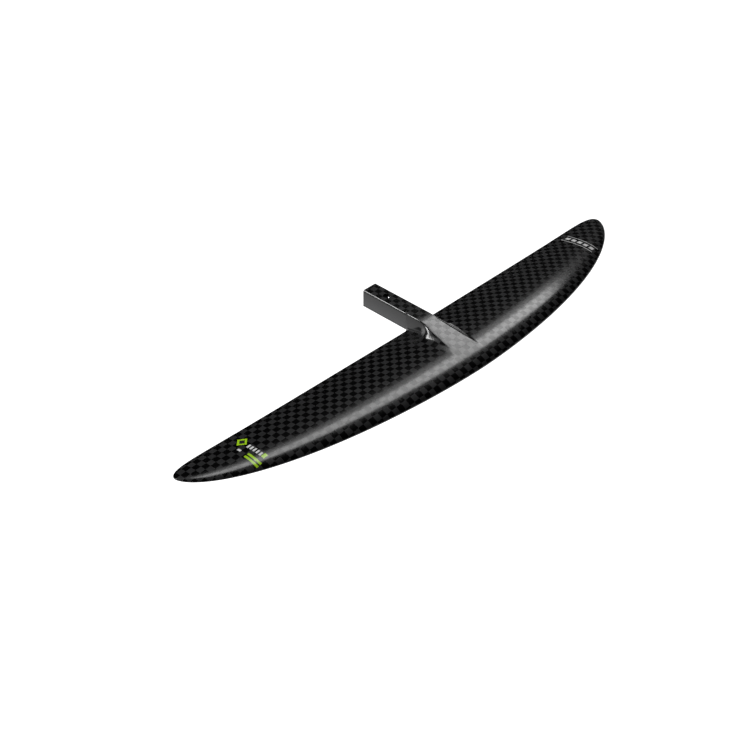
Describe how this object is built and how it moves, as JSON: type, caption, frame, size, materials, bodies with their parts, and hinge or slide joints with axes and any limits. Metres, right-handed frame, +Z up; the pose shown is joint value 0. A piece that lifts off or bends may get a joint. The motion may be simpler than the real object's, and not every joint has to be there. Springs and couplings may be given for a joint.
{
  "type": "hydrofoil front wing",
  "caption": "Carbon hydrofoil front wing with a swept oval plan, slightly drooped tips and a square tang that plugs into a fuselage and takes a clamping bolt.",
  "frame": {"origin": "centre of the tang's rear end face", "axes": "+X to port along the span, +Y aft along the tang, so the leading edge faces -Y, +Z up"},
  "size_m": [0.8598, 0.2175, 0.0434],
  "materials": {
    "woven_carbon": "clear-coated 0/90 woven carbon laminate",
    "solid_laminate": "solid carbon laminate",
    "spar_carbon": "unidirectional carbon",
    "core_foam": "rigid structural foam",
    "filled_resin": "filled epoxy",
    "stainless_steel": "turned stainless steel"
  },
  "bodies": {
    "root": {"upper_skin": "woven_carbon", "lower_skin": "woven_carbon", "tang_block": "solid_laminate", "threaded_insert": "stainless_steel", "upper_spar_cap": "spar_carbon", "lower_spar_cap": "spar_carbon", "port_spar_core": "core_foam", "port_front_core": "core_foam", "port_rear_core": "core_foam", "port_leading_edge_strip": "filled_resin", "port_trailing_edge_strip": "filled_resin", "port_tip_block": "solid_laminate", "starboard_spar_core": "core_foam", "starboard_front_core": "core_foam", "starboard_rear_core": "core_foam", "starboard_leading_edge_strip": "filled_resin", "starboard_trailing_edge_strip": "filled_resin", "starboard_tip_block": "solid_laminate"}
  },
  "joints": []
}
